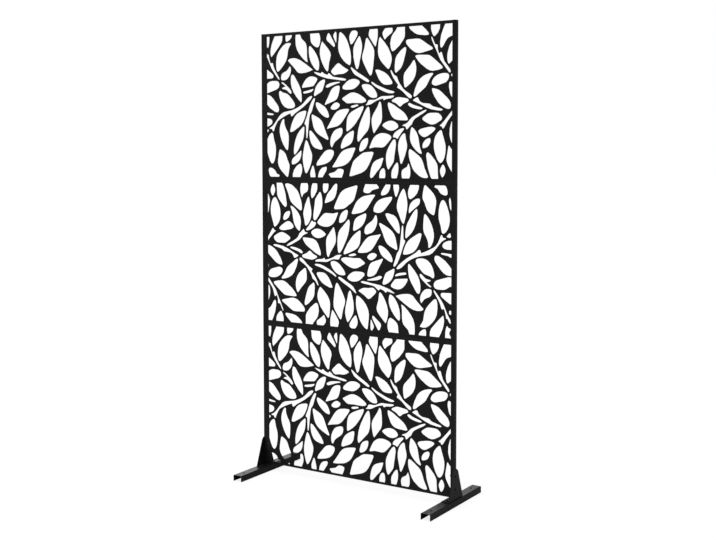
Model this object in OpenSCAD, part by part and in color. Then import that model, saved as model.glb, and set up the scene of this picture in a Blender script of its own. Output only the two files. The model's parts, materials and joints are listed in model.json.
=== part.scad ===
// Metal privacy screen. Three leaf-cut sheet panels are stacked one above
// the other, each with a square tube upright down both sides, and the
// uprights stand on two channel feet, held by folded gusset brackets.
// Millimetres. The front faces -Y, up is +Z, and the origin is the middle
// of the base on the floor.

/* [Panels] */
// Width over both uprights
screen_w = 908; // [700:2:1100]
// Height of one panel
panel_h = 600; // [450:1:700]
// Thickness of the cut sheet
sheet_t = 1.5; // [1:0.1:2]
// Height of the lowest panel above the foot brackets
panel_rise = 5; // [1:0.5:20]
// Plain strip left along the top and bottom of each panel
border_h = 12.5; // [10:0.5:30]
// Plain strip along the bottom of the lowest panel, which is trimmed
lowest_border_h = 10; // [8:0.5:30]
// Depth of the flange folded back along each of those strips
flange_d = 14; // [13:0.5:16]
// Inside radius of the flange folds
fold_r = 0.5; // [0.3:0.1:1]
// Gap between a flange end and the upright beside it
flange_gap = 0.5; // [0.3:0.1:1]
// How far each leaf edge is drawn in, which widens the strips between leaves
leaf_inset = 1.3; // [0:0.1:1.5]
// Largest distance of a leaf curve from its straight steps
curve_step = 1; // [0.4:0.1:2]

/* [Uprights] */
// Width of an upright seen from the front
upright_w = 16; // [14:0.5:30]
// Depth of the screen, sheet and upright together
screen_d = 18; // [17:0.5:30]
// Wall of the upright tube
tube_wall = 1.2; // [1:0.1:1.6]
// Outside corner radius of the tube
tube_r = 1.5; // [0.5:0.1:2]

/* [Joining sleeves] */
// Length of a sleeve, half of it in each upright section
sleeve_l = 160; // [100:5:240]
// Wall of the sleeve tube
sleeve_wall = 1.5; // [1:0.1:2]
// Gap between sleeve and upright on each side
sleeve_fit = 0.3; // [0.2:0.05:0.5]
// Distance of each sleeve screw from the joint
sleeve_screw_z = 50; // [20:1:70]

/* [Caps] */
// Thickness of the cap head
cap_t = 2; // [1.5:0.1:3]
// Length of the cap plug inside the tube
cap_plug = 12; // [8:1:20]
// Gap between plug and tube on each side
cap_fit = 0.2; // [0.1:0.05:0.4]

/* [Feet] */
// Length of a foot, front to back
foot_l = 410; // [300:10:500]
// Width of a foot
foot_w = 41; // [38:1:50]
// Height of a foot
foot_h = 25; // [22:1:40]
// Wall of the foot channel
foot_wall = 2; // [1.5:0.1:3]
// Inside radius of the channel folds
foot_fold_r = 1; // [0.5:0.1:2]
// How far the foot's centre line lies inboard of the upright's
foot_shift = 5.5; // [3:0.5:7]
// Diameter of the anchor hole near each foot end
anchor_d = 11; // [6:0.5:13]
// Distance of the anchor hole from the foot end
anchor_inset = 43; // [25:1:60]

/* [Brackets] */
// Plate thickness of a bracket
bracket_t = 2.5; // [2:0.1:3]
// Length of the bracket along the foot
bracket_l = 114; // [104:2:160]
// Height of the gusset above the foot
gusset_h = 117; // [100:1:150]
// Height of the sloped shoulder at the gusset's top
shoulder_h = 9; // [4:1:15]
// Width of the gusset below the shoulder
shoulder_w = 39; // [30:1:50]
// Width of the gusset's top edge
gusset_top_w = 20; // [14:1:28]
// Width of the base flange that lies on the foot
base_w = 33; // [32:0.5:35]
// Height of the lower upright bolt above the foot
gusset_bolt_low = 40; // [30:1:50]
// Height of the upper upright bolt above the foot
gusset_bolt_high = 90; // [65:1:92]
// Distance of each foot bolt from the upright's centre
foot_bolt_y = 40; // [28:1:45]

/* [Fasteners] */
// Diameter of the bolts
bolt_d = 5; // [4:0.5:5.5]
// Number of bolts along each panel joint
joint_bolts = 5; // [3:1:9]
// Distance of the outermost joint bolts from the upright
joint_bolt_end = 38; // [20:1:80]
// Diameter of the sleeve screws
screw_d = 4; // [3:0.5:5]
// Length of the sleeve screws
screw_l = 8; // [6:0.5:10]
// Extra diameter of a hole that a bolt passes
hole_fit = 0.5; // [0.3:0.1:0.8]
// Extra diameter of a nut's or sleeve's threaded hole
thread_fit = 0.2; // [0.1:0.05:0.3]

/* [Hidden] */
$fn = 32;
fold_out = fold_r + sheet_t;
tube_d = screen_d - sheet_t;
front_y = -screen_d / 2;
tube_y = front_y + sheet_t + tube_d / 2;
upright_x = screen_w / 2 - upright_w / 2;
foot_x = upright_x - foot_shift;
base_z = foot_h + bracket_t;
stack_z = base_z + panel_rise;
trim_h = border_h - lowest_border_h;
lower_joint = stack_z - trim_h + panel_h;
upper_joint = lower_joint + panel_h;
top_z = upper_joint + panel_h;
// How far a cutter reaches past the face that it opens
past = 1;
joint_bolt_y = front_y + sheet_t + (flange_d - sheet_t) / 2;
sleeve_w = upright_w - 2 * tube_wall - 2 * sleeve_fit;
sleeve_d = tube_d - 2 * tube_wall - 2 * sleeve_fit;
// Bolt proportions: head, nut and washer follow the bolt diameter
head_w = 1.9 * bolt_d;
head_h = 0.55 * bolt_d;
head_top_w = 0.62 * head_w;
// Straight rim of the head, below its dome
head_rim_h = 0.4 * head_h;
socket_w = 0.6 * bolt_d;
socket_floor = 0.35 * head_h;
nut_w = 1.6 * bolt_d;
nut_h = 0.8 * bolt_d;
washer_w = 2 * bolt_d;
washer_t = 1;
// What of a bolt shows past its nut
bolt_end = 1.5;
hole_d = bolt_d + hole_fit;
screw_head_w = 1.8 * screw_d;
screw_head_h = 0.6 * screw_d;
screw_top_w = 0.75 * screw_head_w;
cross_l = 0.5 * screw_head_w;
cross_w = 0.2 * screw_d;
joint_bolt_l = 2 * sheet_t + 2 * washer_t + nut_h + bolt_end;
gusset_bolt_l = bracket_t + upright_w + washer_t + nut_h + bolt_end;
foot_bolt_l = bracket_t + foot_wall + washer_t + nut_h + bolt_end;
window_w = screen_w - 2 * upright_w;
window_h = panel_h - 2 * border_h;
// The leaf outlines are drawn for a window of this size
drawn_w = 876;
drawn_h = 576;
drawn_border = 12;
flange_len = window_w - 2 * flange_gap;
joint_bolt_x = window_w / 2 - joint_bolt_end;

// Leaf and stem openings of one panel: x from the panel's middle, y from
// its lower edge. Each outline passes the middle of every side and rounds
// the corner between; a third value of 1 keeps that corner sharp.
top_row = [
  [[-411, 602], [-411, 566], [-416, 545], [-421, 539, 1], [-428, 549],
    [-438, 549], [-437, 560], [-429, 570], [-438, 580], [-440, 602]],
  [[-404, 501, 1], [-411, 522], [-404, 556], [-386, 592], [-375, 602],
    [-345, 602], [-344, 566], [-358, 549], [-386, 518]],
  [[-332, 602], [-332, 561], [-320, 561], [-300, 574], [-295, 588], [-302, 602]],
  [[-301, 557], [-330, 560], [-357, 538], [-380, 508], [-381, 455], [-371, 437],
    [-350, 456], [-325, 483], [-317, 515], [-317, 530], [-301, 552]],
  [[-437, 541], [-426, 526], [-421, 516, 1], [-415, 516, 1], [-413, 497],
    [-406, 480, 1], [-398, 483, 1], [-393, 476], [-390, 462], [-376, 438],
    [-360, 416], [-361, 408], [-368, 410], [-398, 447], [-412, 470],
    [-421, 496], [-438, 519]],
  [[-442, 500], [-429, 500], [-426, 490], [-429, 481], [-442, 482]],
  [[-452, 462], [-432, 461], [-412, 446], [-390, 432], [-392, 416],
    [-412, 416], [-452, 414]],
  [[-309, 466, 1], [-301, 455], [-303, 432], [-322, 407], [-345, 405],
    [-357, 409], [-354, 434], [-338, 442], [-324, 446]],
  [[-321, 486, 1], [-310, 496], [-268, 496], [-196, 447], [-192, 443, 1],
    [-225, 432], [-268, 430], [-284, 451]],
  [[-217, 473, 1], [-232, 478], [-266, 511], [-283, 545], [-281, 602],
    [-258, 602], [-251, 570], [-221, 552], [-222, 495]],
  [[-212, 602], [-207, 575], [-207, 556], [-196, 542], [-171, 527],
    [-160, 537], [-154, 565], [-160, 585], [-168, 602]],
  [[-210, 543], [-198, 534], [-174, 506], [-160, 472], [-163, 445],
    [-169, 436], [-184, 444], [-202, 466], [-215, 497], [-216, 535]],
  [[-149, 557, 1], [-115, 522], [-102, 500], [-115, 468], [-117, 434],
    [-128, 432], [-150, 465], [-164, 505], [-158, 540]],
  [[-118, 592], [-107, 577], [-98, 560], [-88, 546], [-84, 534], [-91, 525],
    [-103, 537], [-119, 549], [-131, 560], [-128, 574]],
  [[-82, 594], [-77, 582], [-78, 547], [-83, 542], [-87, 551], [-93, 563],
    [-98, 572], [-92, 585]],
  [[-62, 589], [-48, 580], [-29, 558], [-15, 520], [-8, 490], [-11, 450],
    [-26, 456], [-46, 470], [-66, 496], [-75, 525], [-70, 560], [-68, 583]],
  [[4, 591], [-12, 587], [-22, 565], [-18, 545], [-11, 529], [2, 541],
    [15, 558], [23, 573], [20, 586]],
  [[30, 570], [36, 555], [44, 530], [40, 502], [31, 468], [27, 444], [16, 431],
    [9, 446], [1, 472], [-3, 498], [-1, 524], [10, 546], [22, 561]],
  [[62, 560], [71, 552], [87, 529], [100, 508], [97, 470], [92, 432], [86, 410],
    [76, 407], [62, 430], [44, 462], [37, 485], [46, 504], [53, 530], [56, 552]],
  [[78, 602], [72, 580], [68, 565], [80, 547], [96, 525], [104, 515],
    [110, 538], [115, 560], [114, 602]],
  [[150, 592], [137, 582], [131, 568], [138, 552], [145, 540], [152, 551],
    [168, 562], [181, 570], [182, 584], [176, 592]],
  [[122, 561], [130, 551], [153, 528], [170, 500], [180, 470], [172, 444],
    [163, 427], [152, 436], [124, 463], [112, 488], [112, 515], [116, 548]],
  [[204, 602], [196, 580], [176, 562], [168, 540], [167, 520], [173, 502],
    [180, 494], [204, 510], [222, 528], [238, 553], [234, 570], [237, 588],
    [237, 602]],
  [[238, 515], [243, 504], [236, 476], [226, 444], [215, 428], [203, 421],
    [194, 411], [187, 424], [188, 452], [191, 474], [206, 494], [226, 509]],
  [[252, 602], [250, 582], [264, 570], [282, 556], [308, 551], [334, 549],
    [342, 554], [335, 565], [320, 580], [308, 590], [306, 602]],
  [[236, 530], [240, 541], [266, 541], [300, 543], [322, 525], [348, 510],
    [361, 500], [350, 494], [324, 489], [300, 483], [276, 488], [252, 508],
    [240, 522]],
  [[276, 478], [292, 481], [322, 479], [345, 478], [366, 458], [388, 443],
    [404, 425], [390, 421], [366, 415], [342, 416], [316, 433], [294, 452],
    [282, 468]],
  [[348, 602], [345, 582], [347, 564], [355, 548], [361, 542], [373, 550],
    [384, 564], [388, 578], [386, 602]],
  [[412, 602], [403, 580], [392, 560], [386, 536], [384, 512], [389, 496],
    [400, 504], [412, 526], [422, 537], [440, 542], [452, 545], [452, 602]],
  [[450, 540], [438, 530], [428, 515], [419, 494], [414, 468], [417, 446],
    [424, 436], [432, 445], [450, 458]],
  [[350, 548], [356, 540], [364, 520], [368, 515, 1], [377, 516], [379, 506],
    [377, 498], [383, 482, 1], [390, 488], [396, 484], [401, 462], [408, 447],
    [424, 430], [434, 414], [431, 405], [423, 408], [408, 428], [392, 448],
    [382, 461], [378, 475], [366, 498], [355, 520], [346, 541]],
];

middle_row = [
  [[-247, 312], [-250, 370], [-276, 408], [-288, 429], [-304, 431],
    [-308, 395], [-296, 357], [-258, 315]],
  [[-452, 391], [-430, 393], [-416, 406], [-390, 409], [-364, 405],
    [-359, 385], [-372, 370], [-402, 363], [-424, 355], [-438, 356], [-452, 357]],
  [[-452, 353], [-424, 353], [-404, 346], [-384, 323], [-364, 300],
    [-363, 280], [-376, 274], [-402, 286], [-424, 304], [-438, 323], [-452, 340]],
  [[-452, 283], [-431, 284], [-424, 277], [-404, 276], [-386, 270],
    [-398, 264], [-424, 267], [-452, 269]],
  [[-452, 253], [-420, 255], [-402, 250], [-396, 238], [-404, 226],
    [-424, 217], [-452, 218]],
  [[-438, 209], [-422, 209], [-413, 204], [-424, 195], [-431, 186], [-436, 194]],
  [[-418, 214], [-402, 220], [-388, 234], [-366, 262], [-346, 279],
    [-300, 284], [-266, 297], [-243, 311], [-222, 334], [-202, 342],
    [-194, 337], [-206, 322], [-228, 304], [-254, 286], [-282, 272],
    [-298, 256], [-306, 260], [-308, 270, 1], [-330, 263], [-352, 251],
    [-372, 241], [-386, 214], [-392, 196], [-400, 198], [-402, 209], [-414, 208]],
  [[-367, 362], [-357, 368], [-346, 358], [-322, 354], [-302, 336],
    [-284, 313], [-281, 298], [-293, 291], [-318, 289], [-340, 298],
    [-356, 316], [-366, 344]],
  [[-358, 398], [-348, 402], [-336, 396], [-322, 384], [-303, 367],
    [-298, 354], [-306, 348], [-316, 356], [-328, 368], [-352, 371],
    [-350, 378], [-334, 382, 1], [-342, 389]],
  [[-342, 252], [-336, 248], [-338, 232], [-328, 208], [-316, 192],
    [-314, 166], [-318, 122], [-326, 119], [-338, 132], [-354, 158],
    [-366, 196], [-362, 224], [-351, 246]],
  [[-311, 200], [-304, 228], [-286, 262], [-264, 277], [-228, 284],
    [-225, 274], [-236, 244], [-250, 223], [-272, 209], [-300, 192], [-310, 196]],
  [[-251, 375], [-245, 390], [-228, 412], [-204, 421], [-174, 413],
    [-169, 403], [-184, 386], [-190, 376], [-220, 375], [-246, 371]],
  [[-247, 355], [-238, 360], [-214, 363], [-192, 370], [-189, 364],
    [-200, 354], [-222, 350], [-240, 348]],
  [[-192, 340], [-188, 360], [-180, 380], [-160, 399], [-136, 407],
    [-132, 396], [-142, 370], [-148, 354], [-174, 343], [-186, 335]],
  [[-136, 375], [-124, 385], [-100, 391], [-66, 393], [-60, 388], [-67, 385],
    [-88, 382], [-108, 372], [-128, 367]],
  [[-140, 301], [-132, 318], [-118, 338], [-108, 362], [-90, 375], [-64, 379],
    [-62, 366], [-70, 334], [-80, 318], [-104, 311], [-134, 300]],
  [[-112, 290], [-100, 304], [-80, 315], [-58, 301], [-72, 285], [-90, 279],
    [-106, 282]],
  [[-111, 433], [-92, 452], [-70, 471], [-50, 451], [-18, 436], [-26, 430],
    [-46, 419], [-70, 421], [-92, 415], [-102, 426]],
  [[-193, 437], [-174, 434], [-157, 429, 1], [-149, 438], [-140, 427],
    [-124, 422, 1], [-117, 432], [-104, 419], [-92, 411], [-62, 409],
    [-30, 402], [-35, 393], [-62, 395], [-82, 400], [-110, 402], [-140, 409],
    [-172, 420], [-190, 432]],
  [[-17, 449], [-6, 447], [12, 431], [34, 418], [58, 405], [75, 392],
    [76, 386], [68, 382], [50, 391], [26, 405], [4, 416], [-6, 428]],
  [[-56, 369], [-42, 384], [-22, 399], [10, 403], [36, 389], [24, 373],
    [4, 359], [-16, 357], [-48, 358]],
  [[-60, 324], [-44, 332], [-20, 346], [2, 350], [30, 340], [66, 316],
    [54, 305], [26, 302], [0, 306], [-30, 302], [-42, 312]],
  [[-16, 292], [-6, 298], [20, 301], [28, 296], [18, 291], [0, 286], [-10, 286]],
  [[-129, 208], [-108, 238], [-92, 265], [-68, 283], [-20, 286], [-18, 277],
    [-34, 255], [-56, 226], [-76, 213], [-102, 211], [-126, 204]],
  [[-182, 314], [-172, 315], [-148, 304], [-126, 288], [-112, 256],
    [-120, 247], [-142, 254], [-166, 273], [-182, 297]],
  [[-188, 333], [-181, 328], [-186, 315], [-192, 298], [-200, 272],
    [-209, 266], [-213, 236], [-217, 206], [-220, 170], [-226, 165],
    [-230, 172], [-230, 214], [-232, 222, 1], [-241, 226], [-232, 244],
    [-224, 264], [-216, 290], [-206, 311], [-198, 325]],
  [[-34, 190], [-35, 206], [-33, 246], [-20, 267], [4, 280], [46, 297],
    [51, 288], [38, 262], [22, 236], [0, 212], [-20, 198]],
  [[36, 378], [62, 380], [84, 373], [104, 353], [114, 330], [107, 322],
    [86, 321], [66, 332], [48, 352], [39, 364]],
  [[79, 383], [86, 389], [102, 377], [134, 363], [166, 351], [192, 346],
    [188, 337], [162, 337], [140, 345], [110, 359], [92, 371]],
  [[49, 294], [64, 303], [68, 319], [94, 315], [112, 321], [128, 331],
    [160, 329], [186, 332], [190, 325], [172, 317], [150, 317], [140, 308],
    [136, 318, 1], [126, 317], [100, 308], [82, 296], [62, 295]],
  [[98, 430], [108, 434], [132, 428], [156, 414], [172, 396], [182, 379],
    [178, 371], [152, 370], [136, 373], [118, 390], [109, 408], [104, 420]],
  [[172, 431], [180, 422], [188, 407], [201, 404], [205, 388], [219, 365],
    [237, 346], [264, 332], [268, 321], [260, 313], [244, 323], [222, 345],
    [206, 355], [196, 359], [203, 370, 1], [188, 386], [176, 405], [168, 424]],
  [[158, 307], [156, 293], [164, 268], [178, 243], [200, 234], [226, 233],
    [252, 231], [246, 248], [232, 266], [208, 280], [186, 296], [168, 303]],
  [[170, 309], [186, 320], [204, 325], [228, 321], [248, 318], [256, 308],
    [244, 300], [228, 297], [213, 280], [200, 296], [184, 303]],
  [[128, 217], [146, 229], [172, 237], [198, 228], [210, 211], [200, 201],
    [182, 193], [160, 195], [140, 207]],
  [[274, 466], [281, 455], [287, 434], [284, 404], [270, 380], [250, 365],
    [234, 353], [229, 368], [226, 396], [230, 416], [250, 434], [264, 452]],
  [[269, 321], [274, 342], [282, 366], [298, 391], [324, 406], [355, 412],
    [361, 405], [346, 391], [336, 370], [326, 355], [300, 337], [282, 321]],
  [[348, 372], [356, 390], [376, 404], [402, 409], [426, 405], [427, 388],
    [414, 370], [392, 366], [370, 358], [354, 363]],
  [[431, 398], [434, 405], [440, 404], [446, 398], [440, 391], [434, 392]],
  [[429, 378], [422, 366], [424, 342], [432, 320], [438, 314], [446, 320],
    [446, 368], [438, 372]],
  [[348, 355], [364, 352], [386, 346], [406, 326], [428, 308], [436, 286],
    [430, 270], [412, 273], [388, 286], [368, 308], [354, 334]],
  [[265, 309], [278, 317], [294, 324], [298, 307], [314, 297], [346, 297],
    [354, 285], [378, 281], [405, 272], [394, 265], [362, 269], [336, 275],
    [314, 286], [292, 297], [276, 304]],
  [[245, 296], [255, 303], [270, 293], [294, 287], [318, 279], [308, 272],
    [288, 274], [262, 281], [250, 288]],
  [[334, 271], [327, 274], [308, 268], [284, 255], [262, 245], [252, 232],
    [240, 222], [218, 215], [226, 210], [236, 211], [239, 200], [245, 196],
    [254, 207], [262, 214], [268, 218], [272, 232], [292, 247], [318, 258]],
  [[303, 238], [322, 251], [338, 262], [360, 260], [382, 262], [403, 238],
    [382, 223], [356, 212], [332, 220]],
  [[382, 212], [394, 219], [406, 233], [424, 252], [438, 270], [452, 280],
    [452, 262], [440, 250], [426, 236], [414, 216], [404, 200], [398, 197],
    [394, 207], [386, 209]],
];

bottom_row = [
  [[-405, 197], [-394, 192], [-391, 164], [-380, 140], [-381, 104],
    [-389, 72], [-402, 62], [-414, 74], [-428, 110], [-434, 144], [-424, 180]],
  [[-438, 112], [-432, 104], [-425, 84], [-425, 60], [-432, 54], [-436, 66],
    [-438, 86]],
  [[-424, 48], [-408, 52], [-386, 42], [-377, 23], [-362, 23], [-364, 8],
    [-412, 8], [-420, 24]],
  [[-366, 128], [-352, 124], [-330, 109], [-322, 80], [-309, 62], [-314, 36],
    [-320, 4], [-338, 20], [-364, 43], [-376, 70], [-370, 98]],
  [[-292, 101], [-293, 128], [-284, 168], [-268, 196], [-252, 210],
    [-239, 222], [-235, 212], [-239, 170], [-252, 146], [-270, 116], [-284, 102]],
  [[-304, 68], [-302, 86], [-284, 99], [-264, 114], [-250, 128], [-252, 96],
    [-262, 76], [-284, 63], [-300, 61]],
  [[-304, 4], [-292, 46], [-270, 64], [-252, 70], [-246, 42], [-252, 20],
    [-262, 4]],
  [[-229, 167], [-218, 154], [-206, 122], [-196, 104], [-200, 74],
    [-214, 42], [-230, 20], [-240, 40], [-250, 84], [-244, 122], [-235, 156]],
  [[-211, 203], [-200, 199], [-180, 177], [-156, 150], [-145, 128],
    [-150, 121], [-174, 124], [-198, 134], [-213, 164], [-215, 196]],
  [[-205, 270], [-188, 262], [-160, 249], [-146, 234], [-134, 202],
    [-124, 182], [-116, 165], [-122, 159], [-142, 169], [-170, 183],
    [-190, 202], [-200, 232]],
  [[-195, 67], [-187, 46], [-178, 4], [-208, 4], [-212, 26], [-206, 46]],
  [[-181, 60], [-176, 76], [-156, 97], [-140, 118], [-116, 126], [-90, 121],
    [-92, 102], [-104, 82], [-124, 67], [-156, 60], [-176, 57]],
  [[-142, 56], [-124, 56], [-128, 38], [-142, 20], [-152, 4], [-174, 4],
    [-170, 30], [-158, 48]],
  [[-124, 25], [-108, 32], [-88, 34], [-76, 50], [-48, 47], [-43, 38],
    [-52, 16], [-58, 4], [-104, 4], [-112, 16]],
  [[-108, 130], [-113, 150], [-110, 172], [-96, 198], [-74, 209], [-52, 212],
    [-48, 194], [-56, 174], [-76, 161], [-92, 149], [-99, 131]],
  [[-62, 126], [-61, 142], [-50, 168], [-34, 184], [-10, 197], [5, 201],
    [3, 178], [-2, 155], [-16, 140], [-37, 133], [-52, 125]],
  [[-106, 52], [-92, 68], [-78, 89], [-59, 116], [-34, 127], [11, 134],
    [10, 124], [2, 108], [-10, 82], [-34, 62], [-64, 53], [-96, 51]],
  [[98, 117], [70, 114], [44, 113], [26, 99], [0, 82], [-10, 62], [-16, 36],
    [-24, 12], [8, 22], [38, 29], [64, 45], [80, 76], [90, 94]],
  [[70, 294], [77, 283], [80, 240], [74, 204], [60, 186], [42, 171],
    [26, 150], [16, 156], [17, 184], [24, 214], [40, 252], [58, 283]],
  [[124, 311], [131, 300], [134, 262], [134, 236], [124, 216], [108, 201],
    [97, 181], [90, 190], [82, 228], [84, 250], [98, 272], [112, 292],
    [118, 308]],
  [[24, 115], [27, 138], [38, 160], [58, 169], [72, 170], [69, 146],
    [58, 125], [36, 113]],
  [[69, 123], [78, 143], [92, 172], [118, 187], [142, 188], [168, 181],
    [180, 168], [164, 153], [146, 132], [128, 128], [108, 132], [88, 129]],
  [[143, 95], [118, 87], [94, 78], [80, 54], [73, 8], [92, 12], [110, 37],
    [128, 52], [136, 76]],
  [[139, 54], [149, 44], [149, 4], [118, 4], [118, 30], [126, 46]],
  [[191, 164], [197, 154], [196, 128], [189, 98], [188, 74], [172, 57],
    [162, 40], [152, 54], [147, 92], [152, 118], [170, 148], [182, 162]],
  [[203, 77], [208, 62], [208, 36], [198, 4], [174, 4], [172, 34], [180, 54],
    [194, 70]],
  [[179, 171], [184, 184], [198, 196], [216, 204], [229, 206], [235, 201],
    [224, 190], [214, 178], [206, 165], [199, 160], [196, 166, 1],
    [190, 168], [184, 167]],
  [[233, 189], [239, 180], [240, 163], [248, 140], [243, 114], [232, 86],
    [221, 63], [213, 68], [210, 92], [202, 122], [204, 152], [216, 176]],
  [[222, 4], [217, 30], [222, 48], [244, 55], [250, 77], [255, 65],
    [261, 48], [261, 20], [250, 4]],
  [[266, 210], [280, 199], [294, 178], [299, 150], [303, 126], [313, 107],
    [306, 103], [288, 112], [264, 137], [255, 160], [256, 186], [261, 206]],
  [[250, 126], [264, 124], [288, 106], [310, 91], [320, 62], [326, 42],
    [340, 20], [334, 12], [308, 14], [284, 29], [267, 48], [259, 70], [250, 94]],
  [[290, 190], [298, 200], [322, 206], [350, 210], [372, 204], [366, 193],
    [346, 178], [322, 165], [304, 173]],
  [[309, 125], [311, 146], [326, 163], [348, 169], [349, 152], [340, 134],
    [324, 126]],
  [[332, 115], [342, 110], [360, 93], [377, 70], [381, 50], [379, 28],
    [384, 4], [352, 4], [340, 33], [331, 64], [330, 84], [325, 100]],
  [[388, 198], [397, 194], [402, 168], [414, 140], [412, 104], [404, 80],
    [389, 66], [376, 80], [362, 112], [358, 142], [364, 174]],
  [[400, 70], [408, 61], [415, 42], [406, 22], [397, 13], [388, 27],
    [385, 44], [391, 58]],
  [[424, 142], [419, 124], [417, 104], [412, 84], [420, 62], [438, 34],
    [452, 26], [452, 110], [438, 122], [430, 134]],
  [[450, 250], [438, 235], [429, 212], [425, 188], [427, 166], [438, 139],
    [450, 125]],
];

// Leaf outlines

// A drawn corner, fitted to the window's present size
function fitted(p) =
  [p[0] * window_w / drawn_w, border_h + (p[1] - drawn_border) * window_h / drawn_h];
function middle(p, q) = (p + q) / 2;
function along(a, p, b, t) = (1 - t) * (1 - t) * a + 2 * t * (1 - t) * p + t * t * b;
function steps(a, p, b) = max(1, ceil(sqrt(norm(p - middle(a, b)) / (2 * curve_step))));

// A corner becomes a curve from the middle of one side to the middle of
// the next, cut into as many steps as its bend needs
function corner(a, p, b, sharp) =
  sharp ? [a, p] : [for (k = [0 : steps(a, p, b) - 1]) along(a, p, b, k / steps(a, p, b))];

// Unit vector square to a side, to the left of the way from a to b
function square_to(a, b) = [a[1] - b[1], b[0] - a[0]] / norm(b - a);

// A corner moved in by leaf_inset from both of its sides
function drawn_in(a, p, b, way) =
  let (u = square_to(a, p), v = square_to(p, b))
  p + way * leaf_inset * (u + v) / (1 + u * v);

// 1 where the corners run anticlockwise, and -1 where they run clockwise
function way_round(c) =
  sign([for (i = [0 : len(c) - 1]) cross(c[i], c[(i + 1) % len(c)])] * [for (p = c) 1]);

function outline(drawn) =
  let (
    n = len(drawn),
    f = [for (p = drawn) fitted(p)],
    way = way_round(f),
    c = [for (i = [0 : n - 1])
      drawn_in(f[(i + n - 1) % n], f[i], f[(i + 1) % n], way)]
  )
  [for (i = [0 : n - 1])
    each corner(middle(c[(i + n - 1) % n], c[i]), c[i],
      middle(c[i], c[(i + 1) % n]), len(drawn[i]) == 3)];

module leaf_openings() {
  intersection() {
    translate([-window_w / 2, border_h])
      square([window_w, window_h]);
    for (row = [top_row, middle_row, bottom_row])
      for (drawn = row)
        polygon(outline(drawn));
  }
}

// Panels

// Front sheet lying in the XY plane, between the two folds. The lower edge
// is cut back by trim.
module sheet_face(trim) {
  difference() {
    union() {
      translate([-screen_w / 2, trim + fold_out])
        square([screen_w, panel_h - trim - 2 * fold_out]);
      for (side = [0, 1])
        mirror([side, 0])
          translate([flange_len / 2, trim])
            square([screen_w / 2 - flange_len / 2, panel_h - trim]);
    }
    leaf_openings();
  }
}

// Section of a folded edge: X is depth from the front face, Y is height
module fold_section() {
  translate([fold_out, 0])
    square([flange_d - fold_out, sheet_t]);
  translate([fold_out, fold_out])
    intersection() {
      difference() {
        circle(r = fold_out);
        circle(r = fold_r);
      }
      translate([-fold_out, -fold_out])
        square(fold_out);
    }
}

module flange() {
  translate([-flange_len / 2, front_y, 0])
    rotate([90, 0, 90])
      linear_extrude(flange_len)
        fold_section();
}

module joint_places() {
  for (i = [0 : joint_bolts - 1])
    translate([joint_bolt_x * (2 * i / (joint_bolts - 1) - 1), joint_bolt_y, 0])
      children();
}

// One panel, its untrimmed lower edge at z = 0
module panel(trim = 0) {
  color("dimgray")
    difference() {
      union() {
        translate([0, front_y + sheet_t, 0])
          rotate([90, 0, 0])
            linear_extrude(sheet_t)
              sheet_face(trim);
        translate([0, 0, trim])
          flange();
        translate([0, 0, panel_h])
          mirror([0, 0, 1])
            flange();
      }
      joint_places()
        translate([0, 0, -past])
          cylinder(h = panel_h + 2 * past, d = hole_d);
    }
}

module bottom_panel() {
  translate([0, 0, lower_joint - panel_h])
    panel(trim_h);
}

// The middle panel is the same panel turned upside down
module middle_panel() {
  translate([0, 0, upper_joint])
    rotate([0, 180, 0])
      panel();
}

module top_panel() {
  translate([0, 0, upper_joint])
    panel();
}

// Uprights

module rounded_square(w, d, r) {
  union() {
    square([w - 2 * r, d], center = true);
    square([w, d - 2 * r], center = true);
    for (x = [-1, 1])
      for (y = [-1, 1])
        translate([x * (w / 2 - r), y * (d / 2 - r)])
          circle(r = r);
  }
}

module square_tube(w, d, wall, r, length) {
  linear_extrude(length)
    difference() {
      rounded_square(w, d, r);
      rounded_square(w - 2 * wall, d - 2 * wall, max(r - wall, 0.2));
    }
}

// One screw hole through the back wall only
module back_hole(z, d) {
  translate([0, 0, z])
    rotate([-90, 0, 0])
      cylinder(h = tube_d, d = d);
}

// Upright section from low to high, with screw holes at each of the joints
module upright(side, low, high, joints, bolted = false) {
  color("dimgray")
    translate([side * upright_x, tube_y, 0])
      difference() {
        translate([0, 0, low])
          square_tube(upright_w, tube_d, tube_wall, tube_r, high - low);
        for (z = joints)
          back_hole(z, screw_d + hole_fit);
        if (bolted)
          for (z = [gusset_bolt_low, gusset_bolt_high])
            translate([-upright_w, -tube_y, foot_h + z])
              rotate([0, 90, 0])
                cylinder(h = 2 * upright_w, d = hole_d);
      }
}

module bottom_upright(side) {
  upright(side, base_z, lower_joint, [lower_joint - sleeve_screw_z], true);
}

module middle_upright(side) {
  upright(side, lower_joint, upper_joint,
    [lower_joint + sleeve_screw_z, upper_joint - sleeve_screw_z]);
}

module top_upright(side) {
  upright(side, upper_joint, top_z - cap_t, [upper_joint + sleeve_screw_z]);
}

// Joining sleeves

module sleeve(side, joint) {
  color("silver")
    translate([side * upright_x, tube_y, joint])
      difference() {
        translate([0, 0, -sleeve_l / 2])
          square_tube(sleeve_w, sleeve_d, sleeve_wall, tube_r, sleeve_l);
        for (z = [-sleeve_screw_z, sleeve_screw_z])
          back_hole(z, screw_d + thread_fit);
      }
}

// Pan-head screw along Z, its head above z = 0
module screw() {
  difference() {
    union() {
      cylinder(h = screw_head_h, d1 = screw_head_w, d2 = screw_top_w);
      translate([0, 0, -screw_l])
        cylinder(h = screw_l, d = screw_d);
    }
    for (turn = [0, 90])
      rotate(turn)
        translate([0, 0, screw_head_h])
          cube([cross_l, cross_w, screw_head_h], center = true);
  }
}

module sleeve_screws() {
  color("black")
    for (side = [-1, 1])
      for (joint = [lower_joint, upper_joint])
        for (z = [-sleeve_screw_z, sleeve_screw_z])
          translate([side * upright_x, screen_d / 2, joint + z])
            rotate([-90, 0, 0])
              screw();
}

// Bolts, washers and nuts: each along Z, seated on z = 0

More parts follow.
